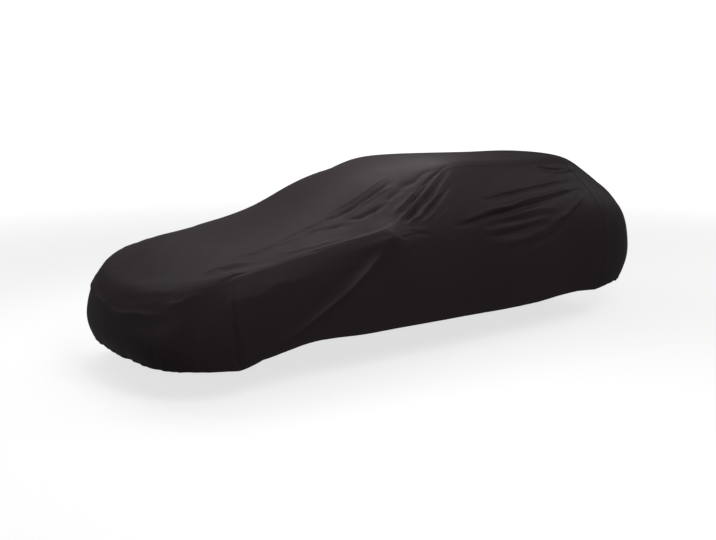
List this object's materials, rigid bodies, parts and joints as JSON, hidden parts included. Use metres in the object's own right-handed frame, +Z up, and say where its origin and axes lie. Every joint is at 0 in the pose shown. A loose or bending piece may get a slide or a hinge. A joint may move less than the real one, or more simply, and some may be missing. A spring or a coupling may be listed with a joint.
{
  "type": "fitted car cover",
  "caption": "Fitted cloth cover for a small hatchback, draped over its bonnet, cabin, mirrors and tail down to the sills.",
  "frame": {"origin": "on the inner face of the cloth, in the middle plane, at the top of the roof", "axes": "+X towards the bonnet end, +Y to the left side, +Z up"},
  "size_m": [4.6129, 1.8064, 1.1771],
  "materials": {
    "cloth_middle": "near-black woven polyester with a soft satin sheen",
    "cloth_sides": "near-black woven polyester with a soft satin sheen"
  },
  "bodies": {
    "root": {"panel_top": "cloth_middle", "panel_side_left": "cloth_sides", "panel_side_right": "cloth_sides"}
  },
  "joints": []
}
